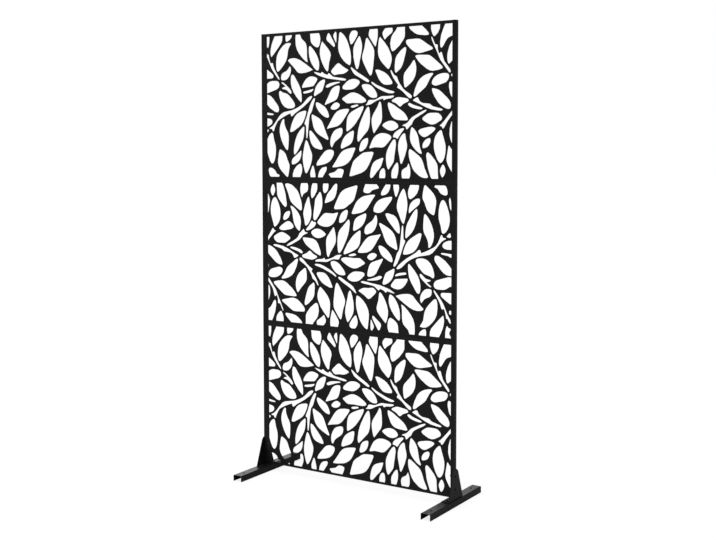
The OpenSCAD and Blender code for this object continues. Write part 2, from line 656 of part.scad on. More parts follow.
module bolt(length) {
  difference() {
    union() {
      cylinder(h = head_rim_h, d = head_w);
      translate([0, 0, head_rim_h])
        cylinder(h = head_h - head_rim_h, d1 = head_w, d2 = head_top_w);
      translate([0, 0, -length])
        cylinder(h = length, d = bolt_d);
    }
    translate([0, 0, socket_floor])
      cylinder(h = head_h, d = socket_w, $fn = 6);
  }
}

module washer() {
  difference() {
    cylinder(h = washer_t, d = washer_w);
    translate([0, 0, -past])
      cylinder(h = washer_t + 2 * past, d = bolt_d + hole_fit / 2);
  }
}

module nut() {
  difference() {
    cylinder(h = nut_h, d = nut_w / cos(30), $fn = 6);
    translate([0, 0, -past])
      cylinder(h = nut_h + 2 * past, d = bolt_d + thread_fit);
  }
}

// Panel joints: bolt heads with washers above the flanges, nuts below

module at_joints(dz) {
  for (z = [lower_joint, upper_joint])
    translate([0, 0, z + dz])
      joint_places()
        children();
}

module joint_bolts() {
  color("black")
    at_joints(sheet_t + washer_t)
      bolt(joint_bolt_l);
}

module joint_washers() {
  color("silver") {
    at_joints(sheet_t)
      washer();
    at_joints(-sheet_t - washer_t)
      washer();
  }
}

module joint_nuts() {
  color("silver")
    at_joints(-sheet_t - washer_t - nut_h)
      nut();
}

// Top caps

module top_cap(side) {
  plug_w = upright_w - 2 * tube_wall - 2 * cap_fit;
  plug_d = tube_d - 2 * tube_wall - 2 * cap_fit;
  color("black")
    translate([side * upright_x, tube_y, top_z - cap_t])
      union() {
        linear_extrude(cap_t)
          rounded_square(upright_w, tube_d, tube_r);
        translate([0, 0, -cap_plug])
          linear_extrude(cap_plug)
            rounded_square(plug_w, plug_d, tube_r / 2);
      }
}

// Feet

// Channel section, open below: X across the foot, Y up
module foot_section() {
  r = foot_fold_r + foot_wall;
  difference() {
    union() {
      translate([-foot_w / 2, 0])
        square([foot_w, foot_h - r]);
      translate([-foot_w / 2 + r, 0])
        square([foot_w - 2 * r, foot_h]);
      for (x = [-1, 1])
        translate([x * (foot_w / 2 - r), foot_h - r])
          circle(r = r);
    }
    translate([-foot_w / 2 + foot_wall, -past])
      square([foot_w - 2 * foot_wall, foot_h - r + past]);
    translate([-foot_w / 2 + r, -past])
      square([foot_w - 2 * r, foot_h - foot_wall + past]);
    for (x = [-1, 1])
      translate([x * (foot_w / 2 - r), foot_h - r])
        circle(r = foot_fold_r);
  }
}

module foot(side) {
  color("dimgray")
    translate([side * foot_x, 0, 0])
      difference() {
        translate([0, foot_l / 2, 0])
          rotate([90, 0, 0])
            linear_extrude(foot_l)
              foot_section();
        for (y = [-1, 1]) {
          translate([0, y * (foot_l / 2 - anchor_inset), past])
            cylinder(h = foot_h, d = anchor_d);
          translate([0, y * foot_bolt_y, past])
            cylinder(h = foot_h, d = hole_d);
        }
      }
}

// Brackets: a gusset up the outside of the upright, and a flange folded
// inward under it along the foot

module gusset_outline() {
  polygon([
    [-bracket_l / 2, bracket_t], [bracket_l / 2, bracket_t],
    [shoulder_w / 2, gusset_h - shoulder_h], [gusset_top_w / 2, gusset_h],
    [-gusset_top_w / 2, gusset_h], [-shoulder_w / 2, gusset_h - shoulder_h],
  ]);
}

module bracket(side) {
  plate_x = screen_w / 2;
  color("dimgray")
    mirror([side < 0 ? 1 : 0, 0, 0])
      difference() {
        union() {
          translate([plate_x, 0, foot_h])
            rotate([90, 0, 90])
              linear_extrude(bracket_t)
                gusset_outline();
          translate([plate_x + bracket_t - base_w, -bracket_l / 2, foot_h])
            cube([base_w - bracket_t, bracket_l, bracket_t]);
          // Rounded outside of the fold
          translate([plate_x, bracket_l / 2, foot_h + bracket_t])
            rotate([90, 0, 0])
              linear_extrude(bracket_l)
                intersection() {
                  circle(r = bracket_t);
                  translate([0, -bracket_t])
                    square(bracket_t);
                }
        }
        for (z = [gusset_bolt_low, gusset_bolt_high])
          translate([plate_x - past, 0, foot_h + z])
            rotate([0, 90, 0])
              cylinder(h = bracket_t + 2 * past, d = hole_d);
        for (y = [-1, 1])
          translate([foot_x, y * foot_bolt_y, foot_h - past])
            cylinder(h = bracket_t + 2 * past, d = hole_d);
      }
}

// Bolts through each gusset and upright, heads outside
module at_gussets(x) {
  for (side = [0, 1])
    mirror([side, 0, 0])
      for (z = [gusset_bolt_low, gusset_bolt_high])
        translate([x, 0, foot_h + z])
          rotate([0, 90, 0])
            children();
}

module upright_bolts() {
  color("black")
    at_gussets(screen_w / 2 + bracket_t)
      bolt(gusset_bolt_l);
}

module upright_washers() {
  color("silver")
    at_gussets(screen_w / 2 - upright_w - washer_t)
      washer();
}

module upright_nuts() {
  color("silver")
    at_gussets(screen_w / 2 - upright_w - washer_t - nut_h)
      nut();
}

// Bolts through each bracket flange and foot, heads on top
module at_feet(z) {
  for (x = [-foot_x, foot_x])
    for (y = [-foot_bolt_y, foot_bolt_y])
      translate([x, y, z])
        children();
}

module foot_bolts() {
  color("black")
    at_feet(foot_h + bracket_t)
      bolt(foot_bolt_l);
}

module foot_washers() {
  color("silver")
    at_feet(foot_h - foot_wall - washer_t)
      washer();
}

module foot_nuts() {
  color("silver")
    at_feet(foot_h - foot_wall - washer_t - nut_h)
      nut();
}

top_panel();
middle_panel();
bottom_panel();
top_upright(-1);  // top_left_upright
top_upright(1);  // top_right_upright
middle_upright(-1);  // middle_left_upright
middle_upright(1);  // middle_right_upright
bottom_upright(-1);  // bottom_left_upright
bottom_upright(1);  // bottom_right_upright
sleeve(-1, upper_joint);  // upper_left_sleeve
sleeve(1, upper_joint);  // upper_right_sleeve
sleeve(-1, lower_joint);  // lower_left_sleeve
sleeve(1, lower_joint);  // lower_right_sleeve
sleeve_screws();
joint_bolts();
joint_washers();
joint_nuts();
top_cap(-1);  // left_top_cap
top_cap(1);  // right_top_cap
bracket(-1);  // left_bracket
bracket(1);  // right_bracket
upright_bolts();
upright_washers();
upright_nuts();
foot(-1);  // left_foot
foot(1);  // right_foot
foot_bolts();
foot_washers();
foot_nuts();
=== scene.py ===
# %% [markdown]
# # A metal privacy screen
# Three panels of sheet steel, each cut through with leaves, stand one above
# another. A square tube runs down both sides of each panel, and the tubes stand
# on two channel feet with a folded gusset bracket at each. All that shows is
# painted black, and it is photographed on white.
#
# The measured model comes first. It arrives with every part in its true place, in
# metres, and nothing below moves it. The work here is to give each part its real
# finish, and to model again the parts that a closer look would find too plain.

# %% Load the measured model
import json
import math

import bmesh
import bpy
from mathutils import Matrix, Vector
from mathutils.bvhtree import BVHTree


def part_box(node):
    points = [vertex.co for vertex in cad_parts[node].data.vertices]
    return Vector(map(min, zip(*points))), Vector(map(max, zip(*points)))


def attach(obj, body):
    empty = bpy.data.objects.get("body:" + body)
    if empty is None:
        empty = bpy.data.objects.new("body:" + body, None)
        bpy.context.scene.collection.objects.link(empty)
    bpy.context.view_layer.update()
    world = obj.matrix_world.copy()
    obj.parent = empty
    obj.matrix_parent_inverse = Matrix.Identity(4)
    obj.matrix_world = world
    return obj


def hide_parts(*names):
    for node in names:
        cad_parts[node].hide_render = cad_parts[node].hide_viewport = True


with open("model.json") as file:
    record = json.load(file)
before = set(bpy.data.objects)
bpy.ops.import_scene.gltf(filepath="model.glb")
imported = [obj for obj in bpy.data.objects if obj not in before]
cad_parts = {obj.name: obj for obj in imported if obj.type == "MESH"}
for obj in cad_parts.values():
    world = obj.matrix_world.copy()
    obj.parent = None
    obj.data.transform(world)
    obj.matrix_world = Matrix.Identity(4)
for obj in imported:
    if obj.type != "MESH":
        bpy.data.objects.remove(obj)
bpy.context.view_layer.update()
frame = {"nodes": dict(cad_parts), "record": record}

MM = 0.001
parts = frame["nodes"]

# %% [markdown]
# ## The camera
# A photograph fixes its camera: only one place, aim and lens put every corner of
# the screen on the right pixel. These values were solved from the corners of the
# screen and the ends of the feet. The aim is almost level, so the tubes stay
# upright in the picture. The picture was trimmed after it was taken, so the lens
# axis passes above its middle, and the shift moves the frame down by as much.

# %% Place the camera
IMAGE_W, IMAGE_H = 716, 540
# Focal length in pixels, and the row of pixels that the lens axis passes through
FOCAL_PX = 1091.1
AXIS_ROW = 225
SENSOR_MM = 36
# Aim in degrees, and place in millimetres
AZIMUTH, DOWN, ROLL = 32.963, 3.74, 0.067
CAMERA_AT = (2359, -3613, 1337)

lens = bpy.data.cameras.new("photo_camera")
lens.sensor_width = SENSOR_MM
lens.lens = SENSOR_MM * FOCAL_PX / IMAGE_W
lens.shift_y = (AXIS_ROW - IMAGE_H / 2) / IMAGE_W
camera = bpy.data.objects.new("photo_camera", lens)
bpy.context.scene.collection.objects.link(camera)
bpy.context.scene.camera = camera
camera.location = Vector(CAMERA_AT) * MM
camera.rotation_euler = [math.radians(a) for a in (90 - DOWN, ROLL, AZIMUTH)]
print("lens in mm:", round(lens.lens, 1), "shift:", round(lens.shift_y, 4))

# %% [markdown]
# ## Colours and nodes
# A paint chart gives colours as hex codes, which are bent to suit a display.
# Blender's sockets take linear light, so each code is straightened once, here.
# The other helpers add one node with its settings and its links, mix two colours,
# start a material, and turn the width of a mark in mm into the scale of a noise.

# %% Helpers for materials
# A Mix node has sockets for numbers, for vectors and for colours. These are for colours.
FIRST_COLOUR, SECOND_COLOUR, MIXED_COLOUR = 6, 7, 2


def linear(code):
    """A hex colour as linear red, green, blue and alpha."""
    shares = [int(code[i:i + 2], 16) / 255 for i in (1, 3, 5)]
    return [s / 12.92 if s <= 0.04045 else ((s + 0.055) / 1.055) ** 2.4 for s in shares] + [1]


def add_node(tree, kind, settings=None, inputs=None):
    """One node. An input that is given a socket is linked, and any other is set."""
    made = tree.nodes.new(kind)
    for name, value in (settings or {}).items():
        setattr(made, name, value)
    for name, value in (inputs or {}).items():
        if isinstance(value, bpy.types.NodeSocket):
            tree.links.new(value, made.inputs[name])
        else:
            made.inputs[name].default_value = value
    return made


def between(tree, share, first, second):
    """A colour that moves from one hex colour to another as a share goes from 0 to 1."""
    mix = add_node(tree, "ShaderNodeMix", {"data_type": "RGBA"}, {
        "Factor": share, FIRST_COLOUR: linear(first), SECOND_COLOUR: linear(second)})
    return mix.outputs[MIXED_COLOUR]


def blank_material(name):
    """A material with nothing in it but its output, and where on the part each point is."""
    made = bpy.data.materials.new(name)
    made.use_nodes = True
    tree = made.node_tree
    tree.nodes.clear()
    place = add_node(tree, "ShaderNodeTexCoord").outputs["Object"]
    return made, tree, place


def per_size(mm):
    """The scale of a noise texture whose marks are about this wide."""
    return 1 / (mm * MM)


print("middle grey in linear light:", round(linear("#808080")[0], 3))

# %% [markdown]
# ## Powder coat
# The sheet, tubes, feet and brackets are sprayed with dry powder and baked. The
# powder flows into a satin skin with a fine pebbled grain, which breaks up
# reflections without making them dull. The real grain is about half a millimetre
# wide, too fine to see at this distance, so it is drawn at 2 mm. A second, wider
# ripple is the orange peel that baked powder always has. Neither is a shape: both
# are far too shallow to show in an outline, and a bump in the shading is enough.

# %% Black powder coat
# Widths in mm of the slow change of tone, the orange peel and the pebbled grain
TONE_W, PEEL_W, GRAIN_W = 60, 9, 2


def make_powder_coat():
    made, tree, place = blank_material("black_satin_powder_coat")
    film = add_node(tree, "ShaderNodeTexNoise", inputs={
        "Vector": place, "Scale": per_size(TONE_W), "Detail": 3})
    colour = between(tree, film.outputs["Fac"], "#0d0d0d", "#131313")
    grain = add_node(tree, "ShaderNodeTexNoise", inputs={
        "Vector": place, "Scale": per_size(GRAIN_W), "Detail": 2})
    peel = add_node(tree, "ShaderNodeTexNoise", inputs={
        "Vector": place, "Scale": per_size(PEEL_W), "Detail": 1})
    rough = add_node(tree, "ShaderNodeMapRange", inputs={
        "Value": peel.outputs["Fac"], "To Min": 0.34, "To Max": 0.46})
    ripple = add_node(tree, "ShaderNodeBump", inputs={
        "Height": peel.outputs["Fac"], "Strength": 0.35, "Distance": 0.1 * MM})
    pebble = add_node(tree, "ShaderNodeBump", inputs={
        "Height": grain.outputs["Fac"], "Strength": 0.5, "Distance": 0.06 * MM,
        "Normal": ripple.outputs["Normal"]})
    paint = add_node(tree, "ShaderNodeBsdfPrincipled", inputs={
        "Base Color": colour, "Roughness": rough.outputs["Result"],
        "Normal": pebble.outputs["Normal"], "IOR": 1.5})
    add_node(tree, "ShaderNodeOutputMaterial", inputs={"Surface": paint.outputs["BSDF"]})
    return made


powder_coat = make_powder_coat()
print("made", powder_coat.name, "with", len(powder_coat.node_tree.nodes), "nodes")

# %% [markdown]
# ## Zinc plate
# Nuts, washers and the sleeves inside the tubes are steel with a thin bright coat
# of zinc, passivated to a faint blue. The plating dulls in soft clouds a few
# millimetres across. One plain grey metal would do from afar, but close by its
# shine would be too even, so the clouds here change the tint and the roughness.

# %% Bright zinc plate
ZINC_CLOUD_W = 5


def make_zinc():
    made, tree, place = blank_material("bright_zinc_plate")
    cloud = add_node(tree, "ShaderNodeTexNoise", inputs={
        "Vector": place, "Scale": per_size(ZINC_CLOUD_W), "Detail": 4})
    tint = between(tree, cloud.outputs["Fac"], "#b4b8bd", "#c9cac6")
    rough = add_node(tree, "ShaderNodeMapRange", inputs={
        "Value": cloud.outputs["Fac"], "To Min": 0.22, "To Max": 0.45})
    metal = add_node(tree, "ShaderNodeBsdfPrincipled", inputs={
        "Base Color": tint, "Metallic": 1.0, "Roughness": rough.outputs["Result"]})
    add_node(tree, "ShaderNodeOutputMaterial", inputs={"Surface": metal.outputs["BSDF"]})
    return made


zinc = make_zinc()
print("made", zinc.name)

# %% [markdown]
# ## Electrocoated steel
# The bolts and screws are dipped in paint that an electric current draws evenly
# over every corner and thread. The film is thinner and smoother than powder, so
# a bolt head shines a little more tightly than the plate around it, with faint
# clouds a few millimetres across where the film ran before it was baked. One noise
# changes tone and roughness together, because both come from the same film.

# %% Electrocoated black steel
STEEL_CLOUD_W = 3


def make_black_steel():
    made, tree, place = blank_material("electrocoated_black_steel")
    cloud = add_node(tree, "ShaderNodeTexNoise", inputs={
        "Vector": place, "Scale": per_size(STEEL_CLOUD_W), "Detail": 3, "Distortion": 1.5})
    rough = add_node(tree, "ShaderNodeMapRange", inputs={
        "Value": cloud.outputs["Fac"], "To Min": 0.32, "To Max": 0.42})
    tone = between(tree, cloud.outputs["Fac"], "#101010", "#161616")
    film = add_node(tree, "ShaderNodeBsdfPrincipled", inputs={
        "Base Color": tone, "Roughness": rough.outputs["Result"], "IOR": 1.52})
    add_node(tree, "ShaderNodeOutputMaterial", inputs={"Surface": film.outputs["BSDF"]})
    return made


black_steel = make_black_steel()
print("made", black_steel.name)

# %% [markdown]
# ## Moulded plastic
# The caps in the tube tops are moulded polythene. The mould is spark eroded, and
# that leaves a dry, even grain that takes the shine off the black. Sparks leave
# round pits side by side, which is how a Voronoi texture is built, while a slow
# noise shows where the resin ran and cooled unevenly.

# %% Black moulded plastic
# Widths in mm of a pit left by the spark, and of the slow change where the resin ran
PIT_W, FLOW_W = 0.8, 12


def make_plastic():
    made, tree, place = blank_material("black_moulded_polythene")
    spark = add_node(tree, "ShaderNodeTexVoronoi", {"feature": "F1"}, {
        "Vector": place, "Scale": per_size(PIT_W)})
    flow = add_node(tree, "ShaderNodeTexNoise", inputs={
        "Vector": place, "Scale": per_size(FLOW_W)})
    rough = add_node(tree, "ShaderNodeMapRange", inputs={
        "Value": flow.outputs["Fac"], "To Min": 0.5, "To Max": 0.62})
    tone = between(tree, flow.outputs["Fac"], "#0f0f10", "#161617")
    pits = add_node(tree, "ShaderNodeBump", inputs={
        "Height": spark.outputs["Distance"], "Strength": 0.4, "Distance": 0.05 * MM})
    resin = add_node(tree, "ShaderNodeBsdfPrincipled", inputs={
        "Base Color": tone, "Roughness": rough.outputs["Result"],
        "Normal": pits.outputs["Normal"], "IOR": 1.51})
    add_node(tree, "ShaderNodeOutputMaterial", inputs={"Surface": resin.outputs["BSDF"]})
    return made


plastic = make_plastic()
print("made", plastic.name)

# %% [markdown]
# ## Finishes for the measured parts
# The record says which finish each part has. Every measured part is given that
# finish now, including those that a new piece will stand for later, so that
# nothing is left in a plain colour.

# %% Paint the measured parts
FINISHES = {
    "black_powder_coat": powder_coat,
    "zinc_plate": zinc,
    "black_steel": black_steel,
    "black_plastic": plastic,
}
finish_of = {p["node"]: p["material_slot"] for p in frame["record"]["subparts"]}
for name, part in parts.items():
    for slot in part.material_slots:
        slot.material = FINISHES[finish_of[name]]
print({f: list(finish_of.values()).count(f) for f in FINISHES})

# %% [markdown]
# ## Turning small hardware
# Bolts, nuts, washers and screws are all stacks of rings on one axis, like work
# on a lathe. A ring starts as a circle. Its points can be pushed in or out, which
# makes the hexagon of a nut or the cross in a screw head from the same circle,
# and bridging one ring to the next makes the skin between them.

# %% Rings and the skin between them
TWO_PI = 2 * math.pi


def ring(work, radius, height, sides=24, outline=None):
    """A loop of edges. The outline gives each point's own share of the radius."""
    made = bmesh.ops.create_circle(work, segments=sides, radius=radius)["verts"]
    for point in made:
        angle = math.atan2(point.co.y, point.co.x) % TWO_PI
        share = outline(angle) if outline else 1
        point.co = Vector((point.co.x * share, point.co.y * share, height))
    return list({edge for point in made for edge in point.link_edges})


def skin(work, loops, closed=False):
    """Faces from each loop to the next. A closed skin ends where it began."""
    pairs = list(zip(loops, loops[1:] + loops[:1] if closed else loops[1:]))
    for lower, upper in pairs:
        bmesh.ops.bridge_loops(work, edges=lower + upper)


def cap(work, loop):
    """One face over an open loop."""
    bmesh.ops.contextual_create(work, geom=loop)


def hexagon(angle):
    """Distance to a hexagon's side, for a hexagon that is 2 across its flats."""
    return 1 / math.cos((angle + math.pi / 6) % (math.pi / 3) - math.pi / 6)


print("corner of a hexagon 2 across its flats:", round(hexagon(math.pi / 6), 3))

# %% [markdown]
# ## Bolts
# The bolts are button heads, driven with a hexagon key. The head is low and
# domed, and the key's socket is a hexagon with a flat floor. A thread could be
# painted on with a texture, but its outline would stay a smooth rod. So it is one
# small V, spun round the shank while it climbs by the pitch at each turn.

# %% One button-head bolt
BOLT_D, PITCH = 5, 0.8
# Width and height of the head, and width of the socket from flat to flat
HEAD_D, HEAD_H = 1.9 * BOLT_D, 0.55 * BOLT_D
SOCKET_D = 0.6 * BOLT_D * math.cos(math.pi / 6)
# Rings up the head and down its socket: shares of the half width and of the height
HEAD_RINGS = [(0.9, 0), (1, 0.12), (1, 0.42), (0.97, 0.66), (0.91, 0.84), (0.82, 0.95), (0.7, 1)]
SOCKET_HEIGHTS = (0.96, 0.35)
# The thread's depth, and the number of steps in one turn of it
THREAD_DEPTH = 0.54 * PITCH
TURN_STEPS = 16
# How near two points are merged, in mm, and how near the thread's cut snaps to one
MERGE, SNAP = 0.01, 0.0005


def thread(work, length):
    """A screwed shank below height 0, with flat ends."""
    turns = math.ceil(length / PITCH) + 2
    start = -(turns - 1) * PITCH
    crest, root = BOLT_D / 2, BOLT_D / 2 - THREAD_DEPTH
    corners = ((root, -PITCH / 2), (crest, 0), (root, PITCH / 2))
    shape = [work.verts.new((r, 0, start + z)) for r, z in corners]
    sides = [work.edges.new(pair) for pair in zip(shape, shape[1:])]
    bmesh.ops.spin(
        work, geom=shape + sides, axis=(0, 0, 1), cent=(0, 0, 0), angle=TWO_PI * turns,
        steps=TURN_STEPS * turns, dvec=(0, 0, PITCH / TURN_STEPS))
    bmesh.ops.remove_doubles(work, verts=work.verts, dist=MERGE)
    for height, way in ((0, 1), (-length, -1)):
        cut = bmesh.ops.bisect_plane(
            work, geom=work.verts[:] + work.edges[:] + work.faces[:], dist=SNAP,
            plane_co=(0, 0, height), plane_no=(0, 0, way), clear_outer=True)
        rim = [e for e in cut["geom_cut"] if isinstance(e, bmesh.types.BMEdge)]
        bmesh.ops.contextual_create(work, geom=rim)


def make_bolt(length):
    """A bolt along Z, its head seated on height 0."""
    work = bmesh.new()
    thread(work, length)
    loops = [ring(work, HEAD_D / 2 * r, HEAD_H * z) for r, z in HEAD_RINGS]
    loops += [ring(work, SOCKET_D / 2, HEAD_H * z, outline=hexagon) for z in SOCKET_HEIGHTS]
    cap(work, loops[0])
    skin(work, loops)
    cap(work, loops[-1])
    return work


trial = make_bolt(20)
open_edges = sum(e.is_boundary for e in trial.edges)
print("faces on one bolt:", len(trial.faces), "open edges:", open_edges)
trial.free()

# %% [markdown]
# ## Nuts and washers
# A nut is cut from hexagon bar and its corners are turned off at 30 degrees, so
# each flat ends in a shallow arch. Here the hexagon's rings drop by as much as
# their points reach past the flats. A washer is stamped, and one of its faces has
# the softly drawn edge that stamping leaves.

# %% One nut and one washer
NUT_D, NUT_H = 1.6 * BOLT_D, 0.8 * BOLT_D
NUT_BORE = BOLT_D / 2 + 0.05
# Width of the chamfer in the nut's bore, slope of its turned corners, and where they start
BORE_CHAMFER = 0.35
CORNER_SLOPE = math.tan(math.radians(30))
TURNED_FROM = 0.96 * NUT_D / 2
WASHER_D, WASHER_T = 2 * BOLT_D, 1.0
WASHER_HOLE = BOLT_D / 2 + 0.13


def make_nut():
    """A nut along Z. Its rings run out over one end, in over the other and back by the bore."""
    work = bmesh.new()
    loops = []
    for end in (0, NUT_H):
        inner = [ring(work, NUT_BORE + BORE_CHAMFER, end), ring(work, TURNED_FROM, end)]
        hexed = ring(work, NUT_D / 2, end, outline=hexagon)
        for point in {p for edge in hexed for p in edge.verts}:
            past = (point.co.xy.length - TURNED_FROM) * CORNER_SLOPE
            point.co.z += past if end == 0 else -past
        loops += inner + [hexed] if end == 0 else [hexed] + inner[::-1]
    loops += [ring(work, NUT_BORE, z) for z in (NUT_H - BORE_CHAMFER, BORE_CHAMFER)]
    skin(work, loops, closed=True)
    return work


def make_washer():
    """A washer along Z: radius and share of the thickness of each ring round its section."""
    work = bmesh.new()
    hole, rim = WASHER_HOLE, WASHER_D / 2
    section = [
        (hole, 0), (rim, 0), (rim, 0.7), (rim - 0.08, 0.9), (rim - 0.3, 1),
        (hole + 0.2, 1), (hole, 0.85)]
    skin(work, [ring(work, r, WASHER_T * z) for r, z in section], closed=True)
    return work


for title, make in (("nut", make_nut), ("washer", make_washer)):
    trial = make()
    open_edges = sum(e.is_boundary for e in trial.edges)
    print("faces on one", title, len(trial.faces), "open edges:", open_edges)
    trial.free()

# %% [markdown]
# ## Sleeve screws
# Short screws in the back of each tube hold the joining sleeves. They have pan
# heads with a cross recess, which is one more ring: a circle whose points are
# drawn in between the four arms, pushed down to a blunt floor.

# %% One pan-head screw
SCREW_D, SCREW_L = 4, 8
PAN_D, PAN_H = 7.2, 2.2
SHANK_RINGS = [(0.2, -SCREW_L), (0.5, -SCREW_L + 1.2), (0.5, -0.4), (0.5, 0)]
PAN_RINGS = [(0.98, 0), (1, 0.25), (0.96, 0.6), (0.84, 0.88), (0.68, 1)]
RECESS_RINGS = [(0.29, 0.98), (0.16, 0.3)]
# Half width of an arm, and reach between the arms, both as shares of an arm's length
ARM_HALF, BETWEEN_ARMS = 0.27, 0.36
ARM_ENDS = math.radians(40)


def cross(angle):
    """A cross with rounded inner corners, for a ring whose radius is an arm's length."""
    off_arm = abs((angle + math.pi / 4) % (math.pi / 2) - math.pi / 4)
    if off_arm >= ARM_ENDS:
        return BETWEEN_ARMS
    return min(1, ARM_HALF / max(math.sin(off_arm), 0.01))


def make_screw():
    """A screw along Z, its head seated on height 0."""
    work = bmesh.new()
    loops = [ring(work, SCREW_D * r, z) for r, z in SHANK_RINGS]
    loops += [ring(work, PAN_D / 2 * r, PAN_H * z) for r, z in PAN_RINGS]
    loops += [ring(work, PAN_D * r, PAN_H * z, outline=cross) for r, z in RECESS_RINGS]
    cap(work, loops[0])
    skin(work, loops)
    cap(work, loops[-1])
    return work


trial = make_screw()
open_edges = sum(e.is_boundary for e in trial.edges)
print("faces on one screw:", len(trial.faces), "open edges:", open_edges)
trial.free()

# %% [markdown]
# ## Setting the hardware out
# The measured model already has each bolt, nut, washer and screw in its place.
# The separate solids of such a part are found by walking from point to point, and
# a copy of the detailed piece is turned and put at the middle of each. The walks
# start anywhere, so the solids are sorted to give the same mesh at each run.

# %% Where the measured solids are
# The triangles of a measured part are loose, and corners this near are one corner
ONE_CORNER = 0.001 * MM


def extent(points):
    """The lowest and the highest corner of some points."""
    rows = [p.co for p in points]
    return [Vector([pick(r[i] for r in rows) for i in range(3)]) for pick in (min, max)]


def solids_in(name):
    """The corners of each separate solid in a measured part, from left to right."""
    work = bmesh.new()
    work.from_mesh(parts[name].data)
    bmesh.ops.remove_doubles(work, verts=work.verts, dist=ONE_CORNER)
    waiting, found = set(work.verts), []
    while waiting:
        solid, edge_of_walk = set(), {waiting.pop()}
        while edge_of_walk:
            solid |= edge_of_walk
            edge_of_walk = {e.other_vert(p) for p in edge_of_walk for e in p.link_edges} - solid
        waiting -= solid
        found.append(extent(solid))
    work.free()
    return sorted(found, key=lambda corners: corners[0][:])


for node in ("joint_bolts", "joint_washers"):
    print(node, "found:", len(solids_in(node)))

# %% [markdown]
# ## From a bmesh to a piece
# A bmesh is a workbench, and what lies on it isn't in the scene yet. Every new
# piece is finished in the same way: its faces are turned outwards, its rounds are
# shaded smooth and its corners kept sharp, and it gets the finish of the part that
# it stands for. It rides on the screen's one body, because nothing here moves.
# Hardware is set out by one more helper. It takes the middle of each measured
# solid and the way that its head faces, so no position is typed in twice.

# %% Finish a piece, and set out the copies of one
def finish_piece(work, title, node, smooth_below=35):
    """Turns a finished bmesh in metres into the piece that stands for a measured part."""
    bmesh.ops.recalc_face_normals(work, faces=work.faces)
    shape = bpy.data.meshes.new(title)
    work.to_mesh(shape)
    work.free()
    shape.shade_smooth()
    shape.set_sharp_from_angle(angle=math.radians(smooth_below))
    piece = bpy.data.objects.new(title, shape)
    bpy.context.scene.collection.objects.link(piece)
    shape.materials.append(FINISHES[finish_of[node]])
    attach(piece, "root")
    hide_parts(node)
    return piece


def set_out(make, title, node, facing):
    """A copy of one piece of hardware in the place of each measured solid."""
    whole, sheet = bmesh.new(), bpy.data.meshes.new("copy")
    for low, high in solids_in(node):
        middle = (low + high) / 2
        way = facing(middle)
        one = make()
        turn = Vector(way).to_track_quat("Z", "Y").to_matrix().to_4x4()
        bmesh.ops.transform(one, matrix=turn @ Matrix.Scale(MM, 4), verts=one.verts)
        start, end = extent(one.verts)
        bmesh.ops.translate(one, vec=middle - (start + end) / 2, verts=one.verts)
        one.to_mesh(sheet)
        whole.from_mesh(sheet)
        one.free()
    bpy.data.meshes.remove(sheet)
    piece = finish_piece(whole, title, node)
    print(title, "faces:", len(piece.data.polygons))
    return piece


# The way that a head faces, for hardware whose middle is known
def up(middle):
    return 0, 0, 1


def back(middle):
    return 0, 1, 0


def outward(middle):
    return math.copysign(1, middle.x), 0, 0


def long_bolt(node):
    """What makes a bolt as long as the measured one."""
    low, high = solids_in(node)[0]
    return lambda: make_bolt(max(high - low) / MM - HEAD_H)


set_out(long_bolt("joint_bolts"), "joint_bolts_threaded", "joint_bolts", up)
set_out(long_bolt("upright_bolts"), "upright_bolts_threaded", "upright_bolts", outward)
set_out(long_bolt("foot_bolts"), "foot_bolts_threaded", "foot_bolts", up)
set_out(make_nut, "joint_nuts_chamfered", "joint_nuts", up)
set_out(make_nut, "upright_nuts_chamfered", "upright_nuts", outward)
set_out(make_nut, "foot_nuts_chamfered", "foot_nuts", up)
set_out(make_washer, "joint_washers_stamped", "joint_washers", up)
set_out(make_washer, "upright_washers_stamped", "upright_washers", outward)
set_out(make_washer, "foot_washers_stamped", "foot_washers", up)
set_out(make_screw, "sleeve_screws_crossed", "sleeve_screws", back)

# %% [markdown]
# ## Folded plate with softened edges
# The feet and brackets are cut and folded from plate, tumbled to take off the
# burrs, and painted. A measured solid has knife edges, which no plate has, and a
# soft edge is what catches a thin line of light. In a copy of the solid the
# triangles are joined and each flat face is made whole again, and then a narrow
# bevel runs along every sharp edge and round the rims of the holes. The shading
# of a large flat face would bend towards its bevels, so its normals are weighted
# by area, which keeps the flats flat and rounds only the bevels.

# %% Feet and brackets with softened edges
# Width in mm of the bevel on each plate
BEVELS = {"left_foot": 0.35, "right_foot": 0.35, "left_bracket": 0.4, "right_bracket": 0.4}
# An edge is sharp past the first angle, and two faces are one flat below the second
SHARP, FLAT = math.radians(40), math.radians(1)


def soften(node, width):
    """Puts a softened copy in the place of a measured plate."""
    work = bmesh.new()
    work.from_mesh(parts[node].data)
    bmesh.ops.remove_doubles(work, verts=work.verts, dist=ONE_CORNER)
    bmesh.ops.dissolve_limit(
        work, angle_limit=FLAT, use_dissolve_boundaries=False,
        verts=work.verts, edges=work.edges)
    sharp = [e for e in work.edges if e.is_manifold and e.calc_face_angle(0) > SHARP]
    bmesh.ops.bevel(
        work, geom=sharp, offset=width * MM, segments=2, profile=0.5, affect="EDGES", material=-1)
    open_edges = sum(not e.is_manifold for e in work.edges)
    piece = finish_piece(work, node + "_softened", node, smooth_below=50)
    level = piece.modifiers.new("flat_faces_stay_flat", "WEIGHTED_NORMAL")
    level.keep_sharp = True
    print(piece.name, "faces:", len(piece.data.polygons), "open edges:", open_edges)


for node, width in BEVELS.items():
    soften(node, width)

# %% [markdown]
# ## Caps
# A cap is one moulding. Its head has rounded corners and a softened rim, and its
# plug is hollow, with three thin fins round it that bend as the cap is pushed in
# and hold it in the tube. Though square, a cap is also a stack of rings, so the
# helper that turned the bolts makes it too. Its rings are squares with rounded
# corners, a curve that mathematicians call a superellipse.

# %% Top caps
CAP_SIDES = 96
